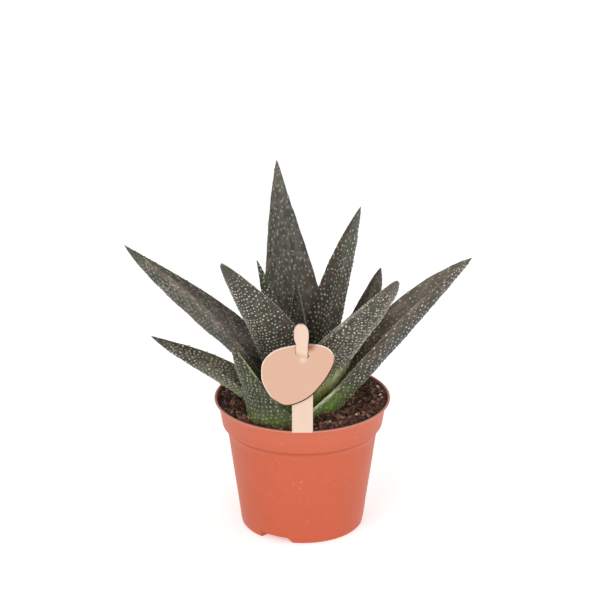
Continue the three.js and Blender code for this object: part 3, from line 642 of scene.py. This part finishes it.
class LeafShape:
    """A leaf's surface: where each point of its skin is, and how it is coloured."""

    STEPS = 300

    def __init__(self, name, seed):
        self.seed = seed
        self.spec = {**PLAIN_LEAF, **LEAVES[name]}
        radius, height = self.spec["foot"]
        start = math.radians(self.spec.get("stands", self.spec["azimuth"]))
        point = Vector((CROWN[0] + radius * math.cos(start), CROWN[1] + radius * math.sin(start), height))
        self.line = [point.copy()]
        step = self.spec["length"] / self.STEPS
        for i in range(self.STEPS):
            here = self.directions(i / self.STEPS)[0]
            there = self.directions((i + 1) / self.STEPS)[0]
            point = point + (here + there) * (step / 2)
            self.line.append(point.copy())

    def directions(self, t):
        """Directions along, across and up through the leaf, at a share of its length."""
        s = self.spec
        hump = 4 * t * (1 - t)
        azimuth = math.radians(s["azimuth"] + s["sweep"] * t + s["bow"] * hump)
        foot, tip = s["rise"]
        rise = math.radians(tip + (foot - tip) * (1 - t) ** 2 + s["lift"] * hump)
        clasp, extent = s["clasp"]
        twist = clasp * smooth_step(extent, 0.0, t)
        roll = math.radians(s["roll"][0] + (s["roll"][1] - s["roll"][0]) * t + twist)
        out = Vector((math.cos(azimuth), math.sin(azimuth), 0))
        along = out * math.cos(rise) + Vector((0, 0, math.sin(rise)))
        level = out * -math.sin(rise) + Vector((0, 0, math.cos(rise)))
        side = along.cross(level)
        up = level * math.cos(roll) + side * math.sin(roll)
        return along, along.cross(up), up

    def width(self, t):
        """The leaf's width. A blunt tip stops a little short of its point and is rounded off."""
        a, b = self.spec["taper"]
        reach = min(1.0, max(0.0, t))
        blunt = self.spec["blunt"]
        taper = max(0.0, 1 - ((1 - 0.035 * blunt) * reach) ** a) ** b
        return self.spec["width"] * taper * (1 - reach ** 40) ** (0.5 * blunt)

    def local(self, t, angle):
        """Where a point of the skin is across, along and through the leaf, in millimetres. Angles 0
        and pi are the two margins, and a reach below 0 is the root end in the peat."""
        spec = self.spec
        s = math.cos(angle)
        inside = max(0.0, 1 - s * s)
        reach = max(0.0, t)
        thickness = spec["thickness"] * max(0.0, 1 - reach ** 2.2) ** 0.9 * (0.55 + 0.9 * reach) / 0.8
        thickness *= 1 - spec["lean"] * smooth_step(0.55, 0.2, reach)
        if math.sin(angle) > 1e-9:
            height = MARGIN * math.sqrt(inside) - CHANNEL * inside
        else:
            height = -MARGIN * math.sqrt(inside) - (1 - MARGIN) * (1 - abs(s) ** KEEL)
        swell = spec["swell"][s < 0] * smooth_step(0.05, 0.3, reach)
        plus, minus, extent = spec["flare"]
        flare = (minus if s < 0 else plus) * smooth_step(extent, 0.0, reach)
        half = (1 + flare + swell * smooth_step(0.95, 0.5, reach)) * self.width(t) / 2
        return s * half, t * spec["length"], height * thickness

    def point(self, t, angle):
        """A point of the skin in millimetres."""
        along, across, up = self.directions(max(0.0, t))
        place = max(0.0, min(t, 0.9999)) * self.STEPS
        i = int(place)
        centre = self.line[i].lerp(self.line[i + 1], place - i) if t < 1 else self.line[-1]
        centre = centre + along * (min(0.0, t) * self.spec["length"])
        aside, _, height = self.local(t, angle)
        return centre + across * aside + up * height

    def swollen(self, t, angle):
        """A point of the skin with the faint swells of a living leaf."""
        here = self.point(t, angle)
        ripple = noise.noise(here * RIPPLE[1] + Vector((self.seed * 7.1, 0, 0)))
        fine = noise.noise(here * FINE_RIPPLE[1] + Vector((0, self.seed * 3.3, 0)))
        swell = (RIPPLE[0] * ripple + FINE_RIPPLE[0] * fine) * min(1, self.width(t) / 8)
        return here + self.outward(t, angle) * swell

    def outward(self, t, angle):
        """Roughly away from the leaf's middle, through its skin."""
        _, across, up = self.directions(max(0.0, t))
        return (across * math.cos(angle) + up * math.sin(angle)).normalized()

    def stance(self, t, angle):
        """The skin's point, outward normal and direction along the leaf."""
        here = self.swollen(t, angle)
        along = (self.point(min(1, t + 0.004), angle) - self.point(t - 0.004, angle)).normalized()
        across = self.point(t, angle + 0.03) - self.point(t, angle - 0.03)
        normal = along.cross(across).normalized()
        return here, (normal if normal.dot(self.outward(t, angle)) > 0 else -normal), along

    def grid_spot(self, u, v):
        """The reach and the angle of a place on the grid, which starts and ends at the keel."""
        rooted = max(0.0, self.spec["foot"][1] - ROOT_END) / self.spec["length"]
        return (1 + rooted) * (1 - (1 - v) ** 1.3) - rooted, math.tau * u - math.pi / 2

    def skin(self, u, v):
        t, angle = self.grid_spot(u, v)
        return (self.swollen(t, angle) if 0 < v < 1 else self.point(t, angle)) * MM

    def tint(self, t, angle):
        """The skin's own colour. Its last number is 0, where a wart's is 1."""
        s = self.spec
        side = 1 if math.sin(angle) >= 0 else -1
        place = math.cos(angle)
        colour = blend(linear(s["lower"]), linear(s["upper"]), smooth_step(-0.12, 0.12, math.sin(angle)))
        fresh = smooth_step(s["green"], 0, self.point(t, angle).z - FRESH_FROM)
        colour = blend(colour, linear(s["fresh"]), 0.9 * fresh)
        for zone_side, middle, half, start, end, code, share in s["zones"]:
            if zone_side != side:
                continue
            soft = min(0.12, 0.6 * half)
            inside = smooth_step(half + soft, half - soft, abs(place - middle))
            inside *= smooth_step(start - 0.1, start + 0.02, t) * smooth_step(end + 0.1, end - 0.02, t)
            colour = blend(colour, linear(code), share * inside)
        edge = smooth_step(0.99, 1.0, abs(place)) * smooth_step(0.0, 0.2, t)
        colour = blend(colour, linear(EDGE_TONE), 0.35 * s["beads"] * edge)
        colour = blend(colour, linear(TIP_TONE), 0.8 * smooth_step(0.98, 1.0, t))
        return colour[:3] + (0.0,)


def leaf_skin_object(shape):
    """The smooth leaf, with its own colours and its straightened coordinates for the mottling."""
    mottle = shape.spec["mottle"]

    def ground(u, v):
        return [part * MM for part in shape.local(*shape.grid_spot(u, v))]

    def tint(u, v):
        return shape.tint(*shape.grid_spot(u, v))

    return wrap_grid(56, 96, shape.skin, {
        "tint": ("FLOAT_COLOR", tint),
        "ground": ("FLOAT_VECTOR", ground),
        "mottle": ("FLOAT_COLOR", lambda u, v: mottle)})


def wart_template():
    """A low dome, whose foot has a radius of a unit."""
    piece = add_piece(bpy.ops.mesh.primitive_uv_sphere_add, segments=7, ring_count=4, radius=1)
    edit(piece)
    bpy.ops.mesh.bisect(plane_co=(0, 0, 0.001), plane_no=(0, 0, 1), clear_inner=True)
    bpy.ops.object.mode_set(mode="OBJECT")
    return piece


def wart_places(shape, draw):
    """Rows of warts that arch across both sides of a leaf, and a line of beads on each edge."""
    spec = shape.spec
    length, bare, loose = spec["length"], spec["bare"], spec["loose"]
    spots = []
    for side, (row, gap, size, long, white) in zip((1, -1), spec["warts"]):
        t = 0.0
        shift = 0
        while t < LAST_WART:
            deep = 0.0 if side > 0 else spec["thickness"] * 1.2
            count = max(1, round(math.hypot(shape.width(t), deep) / gap))
            shift = 0.5 - shift
            wave = draw.uniform(-0.2, 0.2)
            for k in range(count):
                s = -1 + 2 * (k + 0.25 + shift + draw.uniform(-loose, loose)) / count
                thin = noise.noise(Vector((2.5 * s, 0.12 * t * length, 3.7 * shape.seed)))
                if abs(s) > 0.98 or draw.random() < 0.05 - spec["gaps"] * min(0.0, thin + 0.15):
                    continue
                arch = row * (spec["arch"] * (1 - s * s) + wave * s + draw.uniform(-0.8, 0.8) * loose)
                full = smooth_step(1 - 0.4 * bare, 1 - 1.6 * bare, t)
                width = 1.2 * size * draw.uniform(0.62, 1.12) * (0.5 + 0.5 * full)
                whiter = white * draw.uniform(0.65, 1.0) * (0.15 + 0.85 * full)
                spots.append((t + arch / length, side * math.acos(s), width, long, whiter))
            t += row / length * draw.uniform(0.85, 1.15)
    for angle in (0.02, math.pi - 0.02):
        t = 0.08
        while t < LAST_WART:
            if draw.random() < spec["beads"]:
                large = draw.uniform(0.45, 0.7) * max(1.0, spec["beads"])
                spots.append((t, angle, large, 1.2, 0.9 * white))
            t += draw.uniform(1.1, 1.9) / length
    return [spot for spot in spots if -0.02 < spot[0] < 0.985]


def add_warts(shape, template):
    draw = random.Random(shape.seed)
    heights = [max(0.0, vertex.co.z) for vertex in template.data.vertices]
    places = []
    tints = []
    for t, angle, width, long, white in wart_places(shape, draw):
        here, normal, along = shape.stance(t, angle)
        if here.z < PEAT_TOP:
            continue
        side = along.cross(normal).normalized()
        along = normal.cross(side)
        half = 0.5 * width
        reach = half * long * draw.uniform(0.9, 1.15)
        turn = Matrix((side * half, along * reach, normal * half * 0.6)).transposed()
        places.append(Matrix.Translation((here - normal * WART_SUNK) * MM) @ (turn * MM).to_4x4())
        skin = [0.75 * part for part in shape.tint(t, angle)]  # painted shade round the foot of each wart
        fresh = smooth_step(shape.spec["green"], 2, here.z - FRESH_FROM)
        top = blend(linear(PEARL), linear(FRESH_PEARL), 0.8 * fresh)
        tints.append([blend(skin, top, white * smooth_step(0, 0.4, height))[:3] + (1.0,)
                      for height in heights])
    return scatter(template, places, tints)


# ---- the pieces

def make_pot(settings):
    pot = spin_profile(POT_OUTSIDE + POT_INSIDE, 128)
    half = settings.drain_span / 2
    reach, middle, radius = DRAIN_HOLE
    for centre in DRAINS:
        cut(pot, drain_block(centre, *DRAIN_ROOF, half + 2.5), "UNION")
        cut(pot, drain_block(centre, *DRAIN_ROOM, settings.drain_height, half))
        hole = add_piece(bpy.ops.mesh.primitive_cylinder_add, vertices=32, radius=radius * MM, depth=4 * MM)
        turned = math.radians(centre)
        hole.location = Vector((reach * math.cos(turned), reach * math.sin(turned), middle)) * MM
        cut(pot, hole)
    shade(pot, 35)
    settle(pot, "nursery_pot", "pot_plastic", moulded_pot(settings), "pot")


def drain_block(centre, inner, outer, low, high, half_angle):
    """A sector of a ring under the pot's foot, with its ends sloped as the mould needs."""
    block = add_piece(bpy.ops.mesh.primitive_cube_add, size=2)
    edit(block)
    bpy.ops.mesh.subdivide(number_cuts=9)
    bpy.ops.object.mode_set(mode="OBJECT")
    for vertex in block.data.vertices:
        x, y, z = vertex.co
        radius = inner + (outer - inner) * (x + 1) / 2
        down = (1 - z) / 2
        slope = 0.77 + 0.6 * down if y > 0 else 1.3 + 0.12 * down  # each end spreads downwards
        angle = math.radians(centre + y * half_angle * slope)
        height = low + (high - low + 0.25 * (1 - y)) * (z + 1) / 2
        vertex.co = Vector((radius * math.cos(angle), radius * math.sin(angle), height)) * MM
    weld(block)
    return block


def peat_height(x, y):
    """Height of the peat's surface in millimetres: lumpy, and banked up to the pot's lip except
    at the left, where it has sunk."""
    here = Vector((x, y, 0))
    lumps = 0.9 * noise.noise(here * 0.09) + 0.8 * noise.noise(here * 0.27 + Vector((9, 2, 0)))
    crumble = 0.45 * noise.noise(here * 0.75 + Vector((3, 7, 1)))
    sunk = smooth_step(20, 0, math.hypot(x + 36, y - 2))
    bank = smooth_step(28, 40.5, math.hypot(x, y)) * (2.9 - 3.4 * sunk)
    return PEAT_TOP + bank + (lumps + crumble) * smooth_step(43, 37, math.hypot(x, y))


def make_peat():
    rings = [43.2 - 0.8 * k for k in range(54)] + [0.0]
    bed = spin_profile(PEAT_SIDE + [(radius, PEAT_TOP) for radius in rings], 220)
    for vertex in bed.data.vertices:
        if vertex.co.z > (PEAT_TOP - 0.1) * MM:
            height = peat_height(vertex.co.x / MM, vertex.co.y / MM)
            room = 42.3 + 0.38 * (height - PEAT_TOP)  # just within the pot's wall
            shrink = min(1.0, room / max(1.0, math.hypot(vertex.co.x, vertex.co.y) / MM))
            vertex.co = Vector((vertex.co.x * shrink, vertex.co.y * shrink, height * MM))
    rust = [smooth_step(-0.3, 0.4, noise.noise(vertex.co / (3.0 * MM))) for vertex in bed.data.vertices]
    mark(bed, "tint", "FLOAT_COLOR", [blend(linear("#2e1c16"), linear("#644032"), share) for share in rust])
    shade(bed, 60)
    settle(bed, "peat_bed", "peat", loose_peat(), "peat")


def crumb_template():
    piece = add_piece(bpy.ops.mesh.primitive_ico_sphere_add, subdivisions=1, radius=1)
    draw = random.Random(5)
    for vertex in piece.data.vertices:
        vertex.co *= draw.uniform(0.72, 1.15)
    return piece


def make_crumbs(settings):
    draw = random.Random(21)
    template = crumb_template()
    places = []
    tints = []

    def somewhere(reach):
        distance = reach * math.sqrt(draw.random())
        angle = draw.uniform(0, math.tau)
        return distance * math.cos(angle), distance * math.sin(angle)

    def drop(x, y, radius, colour, sink, long=1.0):
        turn = Matrix.Rotation(draw.uniform(0, math.tau), 3, Vector((draw.gauss(0, 1), draw.gauss(0, 1), 1)))
        stretch = Matrix.Diagonal((long * draw.uniform(0.7, 1.4), draw.uniform(0.7, 1.2),
                                   draw.uniform(0.6, 1.0)))
        place = Matrix.Translation(Vector((x, y, peat_height(x, y) + radius * sink)) * MM)
        places.append(place @ (turn @ stretch * (radius * MM)).to_4x4())
        tints.append([linear(colour)] * len(template.data.vertices))

    for _ in range(settings.crumbs):
        drop(*somewhere(42.0), 0.24 + 0.9 * draw.random() ** 3, draw.choice(CRUMB_TONES), 0.25)
    for _ in range(settings.fibres):
        drop(*somewhere(41.8), 0.16, draw.choice(FIBRE_TONES), 2.4, 9.0)
    for _ in range(settings.perlite):
        x, y = somewhere(41.0)
        colour = draw.choice(PERLITE_TONES)
        drop(x, y, draw.uniform(0.3, 0.7), colour, 0.5)
    for colour, spots in PALE_CRUMBS.items():
        for x, y, radius in spots:
            drop(x, y, radius, colour, 0.55)
    crumbs = scatter(template, places, tints)
    bpy.data.objects.remove(template)
    settle(crumbs, "peat_crumbs", "peat", loose_peat())


def make_leaf(name, seed, template, material):
    shape = LeafShape(name, seed)
    leaf = leaf_skin_object(shape)
    join_to(leaf, add_warts(shape, template))
    shade(leaf, 70)
    settle(leaf, name + "_leaf", "leaf_skin", material, "leaf_" + name)


def rounded_bar(u, middle, half, front, depth):
    """A point on a bar's rounded rectangular section."""
    angle = math.tau * u - math.pi / 2
    c, s = math.cos(angle), math.sin(angle)
    x = middle + half * math.copysign(abs(c) ** ROUNDING, c)
    y = front + depth / 2 - depth / 2 * math.copysign(abs(s) ** ROUNDING, s)
    return x, y


def make_stick(settings):
    low, high = STICK[0][0], STICK[-1][0]

    def blade(u, v):
        if v == 1:
            return Vector((STICK[-1][1], STICK[-1][3] + NECK_DEPTH / 2, high + 0.1)) * MM
        height = low + (high - low) * v
        _, middle, half, front = between(STICK, height)
        depth = STICK_DEPTH - (STICK_DEPTH - NECK_DEPTH) * smooth_step(109, 113, height)
        x, y = rounded_bar(u, middle, half, front, depth)
        # the neck slants where it goes through the slit
        slant = smooth_step(107.5, 110.5, height) * smooth_step(117, 113.5, height) * SLIT_TILT
        return Vector((x, y, height + slant * x)) * MM

    stick = wrap_grid(32, 180, blade)

    def tongue(u, v):
        height = TONGUE[0][0] + (TONGUE[-1][0] - TONGUE[0][0]) * v
        _, half, front = between(TONGUE, height)
        x, y = rounded_bar(u, 0.05, half, front, TONGUE_DEPTH)
        return Vector((x, y, height)) * MM

    join_to(stick, wrap_grid(32, 30, tongue))
    shade(stick, 40)
    settle(stick, "birch_stick", "birch", birch_veneer(settings), "label_stick")


def catmull(points, count):
    """Evenly numbered points on a closed smooth curve through the given ones."""
    out = []
    total = len(points)
    for k in range(count):
        place = k * total / count
        i = int(place)
        t = place - i
        a, b, c, d = (Vector(points[(i + j) % total]) for j in (-1, 0, 1, 2))
        out.append(0.5 * (2 * b + (c - a) * t + (2 * a - 5 * b + 4 * c - d) * t * t
                          + (3 * b - a - 3 * c + d) * t ** 3))
    return out


def make_disc(settings):
    edge = catmull(DISC_EDGE, 104)
    disc = add_piece(bpy.ops.mesh.primitive_circle_add, vertices=len(edge), radius=1, fill_type="NGON")
    for vertex, (x, z) in zip(disc.data.vertices, edge):
        vertex.co = Vector((x, DISC_FRONT, z)) * MM
    edit(disc, "FACE")
    bpy.ops.mesh.extrude_region_move(TRANSFORM_OT_translate={"value": (0, DISC_DEPTH * MM, 0)})
    weld(disc)
    edit_where(disc, "FACE", disc.data.polygons, lambda face: face.normal.y < -0.9)
    bpy.ops.mesh.inset(thickness=EDGE_BAND * MM)
    bpy.ops.object.mode_set(mode="OBJECT")
    apply_modifier(disc, "BEVEL", width=EDGE_ROUND * MM, segments=3, limit_method="ANGLE")
    slit = add_piece(bpy.ops.mesh.primitive_cube_add, size=2)
    middle, height, half_width, half_height = SLIT
    for vertex in slit.data.vertices:
        x = middle + half_width * vertex.co.x
        z = height + half_height * vertex.co.z + SLIT_TILT * x
        vertex.co = Vector((x, DISC_FRONT + DISC_DEPTH / 2 + 2 * vertex.co.y, z)) * MM
    cut(disc, slit)
    shade(disc, 50)
    settle(disc, "card_disc", "kraft_card", kraft_card(settings), "label_disc")
    disc.data.materials.append(cut_kraft())
    # where the edge is darkest, the face's border strip takes the edge's colour too, widening the painted
    # shade
    for face in disc.data.polygons:
        on_rim = len(face.vertices) == 4 and disc_dark_edge(face.center) > 0.55
        if abs(face.normal.y) < 0.99 or on_rim:
            face.material_index = 1
    mark(disc, "dark_edge", "FLOAT", [(disc_dark_edge(vertex.co),) for vertex in disc.data.vertices])


def disc_dark_edge(place):
    """How dark the disc's edge is: most at the lower right, as painted shade, and in a reddish-brown patch
    beside the neck.
    """
    x, _, z = place / MM
    smudge = smooth_step(4.2, 2.0, math.hypot(x - 4.0, z - 117.0))
    return max(0.7 * smudge, smooth_step(-0.05, 0.35, (0.6 * (x + 2) - 0.8 * (z - 101)) / 17))


def finish_stem():
    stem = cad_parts["stem"].data
    stem.materials.clear()
    stem.materials.append(crown_skin())


# ---- the stage

AIM = (0, 0, 0.09)  # what the lights point at, in metres
SKIRT = 0.05  # how far the floor lies below the foot, so that the two don't meet
CAMERA = (-1.178, -1877.26, 890.33)  # in millimetres
CAMERA_TILT = 22.254  # degrees down from the horizontal


def add_softbox(name, place, size, power):
    light = bpy.data.lights.new(name, "AREA")
    light.shape = "DISK"
    light.size = size
    light.energy = power
    holder = bpy.data.objects.new(name, light)
    holder.location = place
    holder.rotation_euler = (Vector(AIM) - Vector(place)).to_track_quat("-Z", "Y").to_euler()
    bpy.context.collection.objects.link(holder)


def make_stage(settings):
    floor = add_piece(bpy.ops.mesh.primitive_plane_add, size=settings.floor_size, location=(0, 0, 0))
    floor.name = "backdrop_floor"
    for vertex in floor.data.vertices:
        vertex.co.z -= SKIRT * MM
    floor.data.materials.append(studio_floor(settings))
    world = bpy.context.scene.world or bpy.data.worlds.new("Studio")
    bpy.context.scene.world = world
    world.use_nodes = True
    for node in world.node_tree.nodes:
        if node.type == "BACKGROUND":
            node.inputs["Color"].default_value = (1, 1, 1, 1)
            node.inputs["Strength"].default_value = settings.ambient
    add_softbox("Key softbox", (-0.75, -1.35, 1.15), 1.1, settings.key_power)
    add_softbox("Front softbox", (0.35, -1.7, 0.65), 1.0, settings.front_power)
    add_softbox("Right fill", (1.4, -0.5, 0.7), 0.9, settings.fill_power)
    lens = bpy.data.cameras.new("Product camera")
    lens.sensor_width = 36
    lens.lens = settings.lens
    lens.clip_end = 20
    camera = bpy.data.objects.new("Product camera", lens)
    camera.location = Vector(CAMERA) * MM
    camera.rotation_euler = (math.radians(90 - CAMERA_TILT), 0, 0)
    bpy.context.collection.objects.link(camera)
    bpy.context.scene.camera = camera
    bpy.context.scene.view_settings.view_transform = "Standard"


# ---- settings

def colour_property(name, code, note):
    return FloatVectorProperty(name=name, description=note, default=linear(code)[:3], size=3,
                               subtype="COLOR", min=0, max=1)


class PotSettings(bpy.types.PropertyGroup):
    """Sizes and colour of the nursery pot."""

    colour: colour_property("Colour", "#c86144", "Colour of the moulded plastic")
    drain_span: FloatProperty(name="Drain width", description="Angle that a drain channel spans, in degrees",
                              default=27.0, min=5, max=60)
    drain_height: FloatProperty(name="Drain height", description="Height of a drain channel, in millimetres",
                                default=3.1, min=1, max=4)


class PlantSettings(bpy.types.PropertyGroup):
    """What changes the leaves."""

    seed: IntProperty(name="Seed", description="Changes the warts and ripples", default=3)


class PeatSettings(bpy.types.PropertyGroup):
    """How coarse the peat is."""

    crumbs: IntProperty(name="Crumbs", description="Loose crumbs on the peat", default=5600, min=0)
    fibres: IntProperty(name="Fibres", description="Thin fibres on the peat", default=900, min=0)
    perlite: IntProperty(name="Perlite", description="White grains in the peat", default=40, min=0)


class LabelSettings(bpy.types.PropertyGroup):
    """Colours of the label."""

    stick_colour: colour_property("Stick", "#dcbfac", "Colour of the birch stick")
    card_colour: colour_property("Card", "#d4ac95", "Colour of the card disc")


class StageSettings(bpy.types.PropertyGroup):
    """The floor, the lights and the camera."""

    floor_size: FloatProperty(name="Floor", description="Width of the floor", default=9.0, unit="LENGTH")
    floor_colour: colour_property("Floor colour", "#f7f7f7", "Colour of the light table")
    floor_glow: FloatProperty(name="Floor glow", description="Light through the floor from below",
                              default=0.44, min=0)
    ambient: FloatProperty(name="Ambient", description="Strength of the white surroundings", default=0.57)
    key_power: FloatProperty(name="Key", description="Power of the key softbox", default=7.6, unit="POWER")
    front_power: FloatProperty(name="Front", description="Power of the front softbox", default=6.8,
                               unit="POWER")
    fill_power: FloatProperty(name="Fill", description="Power of the right fill", default=2.6, unit="POWER")
    lens: FloatProperty(name="Lens", description="Focal length in millimetres", default=240.0)


class PlantProject(bpy.types.PropertyGroup):
    """All the settings."""

    pot: PointerProperty(name="Pot", description="The nursery pot", type=PotSettings)
    plant: PointerProperty(name="Plant", description="The leaves", type=PlantSettings)
    peat: PointerProperty(name="Peat", description="The peat", type=PeatSettings)
    label: PointerProperty(name="Label", description="The stick and disc", type=LabelSettings)
    stage: PointerProperty(name="Stage", description="Floor, lights, camera", type=StageSettings)


# ---- operators

class AddPot(bpy.types.Operator):
    """Add the moulded nursery pot"""

    bl_idname = "object.haworthia_pot"
    bl_label = "Nursery pot"

    def execute(self, context):
        make_pot(context.scene.haworthia.pot)
        return {"FINISHED"}


class AddPeat(bpy.types.Operator):
    """Add the peat that fills the pot"""

    bl_idname = "object.haworthia_peat"
    bl_label = "Peat"

    def execute(self, context):
        make_peat()
        return {"FINISHED"}


class AddCrumbs(bpy.types.Operator):
    """Add the loose crumbs and perlite on the peat"""

    bl_idname = "object.haworthia_crumbs"
    bl_label = "Peat crumbs"

    def execute(self, context):
        make_crumbs(context.scene.haworthia.peat)
        return {"FINISHED"}


class FinishStem(bpy.types.Operator):
    """Give the short stem its fleshy finish"""

    bl_idname = "object.haworthia_stem"
    bl_label = "Stem finish"

    def execute(self, context):
        finish_stem()
        return {"FINISHED"}


class AddLeaves(bpy.types.Operator):
    """Add the rosette of warty leaves"""

    bl_idname = "object.haworthia_leaves"
    bl_label = "Leaves"

    def execute(self, context):
        template = wart_template()
        material = succulent_skin()
        first = context.scene.haworthia.plant.seed
        for i, name in enumerate(LEAVES):
            make_leaf(name, first + i, template, material)
        bpy.data.objects.remove(template)
        return {"FINISHED"}


class AddStick(bpy.types.Operator):
    """Add the birch label stick"""

    bl_idname = "object.haworthia_stick"
    bl_label = "Label stick"

    def execute(self, context):
        make_stick(context.scene.haworthia.label)
        return {"FINISHED"}


class AddDisc(bpy.types.Operator):
    """Add the card disc that the stick carries"""

    bl_idname = "object.haworthia_disc"
    bl_label = "Label disc"

    def execute(self, context):
        make_disc(context.scene.haworthia.label)
        return {"FINISHED"}


class AddStage(bpy.types.Operator):
    """Add the floor, the soft lights and the camera"""

    bl_idname = "object.haworthia_stage"
    bl_label = "Stage"

    def execute(self, context):
        make_stage(context.scene.haworthia.stage)
        return {"FINISHED"}


STEPS = (AddPot, AddPeat, AddCrumbs, FinishStem, AddLeaves, AddStick, AddDisc, AddStage)


class PlantPanel(bpy.types.Panel):
    """Lists the steps and the settings"""

    bl_idname = "VIEW3D_PT_haworthia"
    bl_label = "Potted haworthia"
    bl_space_type = "VIEW_3D"
    bl_region_type = "UI"
    bl_category = "Plant"

    def draw(self, context):
        for step in STEPS:
            self.layout.operator(step.bl_idname)
        project = context.scene.haworthia
        for group in (project.pot, project.plant, project.peat, project.label, project.stage):
            box = self.layout.box()
            for name in group.__annotations__:
                box.prop(group, name)


GROUPS = (PotSettings, PlantSettings, PeatSettings, LabelSettings, StageSettings, PlantProject)


def register():
    for item in GROUPS + STEPS + (PlantPanel,):
        bpy.utils.register_class(item)
    bpy.types.Scene.haworthia = PointerProperty(type=PlantProject)


def unregister():
    del bpy.types.Scene.haworthia
    for item in reversed(GROUPS + STEPS + (PlantPanel,)):
        bpy.utils.unregister_class(item)


def main():
    register()
    for step in STEPS:
        group, name = step.bl_idname.split(".")
        getattr(getattr(bpy.ops, group), name)()
    deselect_all()


if __name__ == "__main__":
    main()
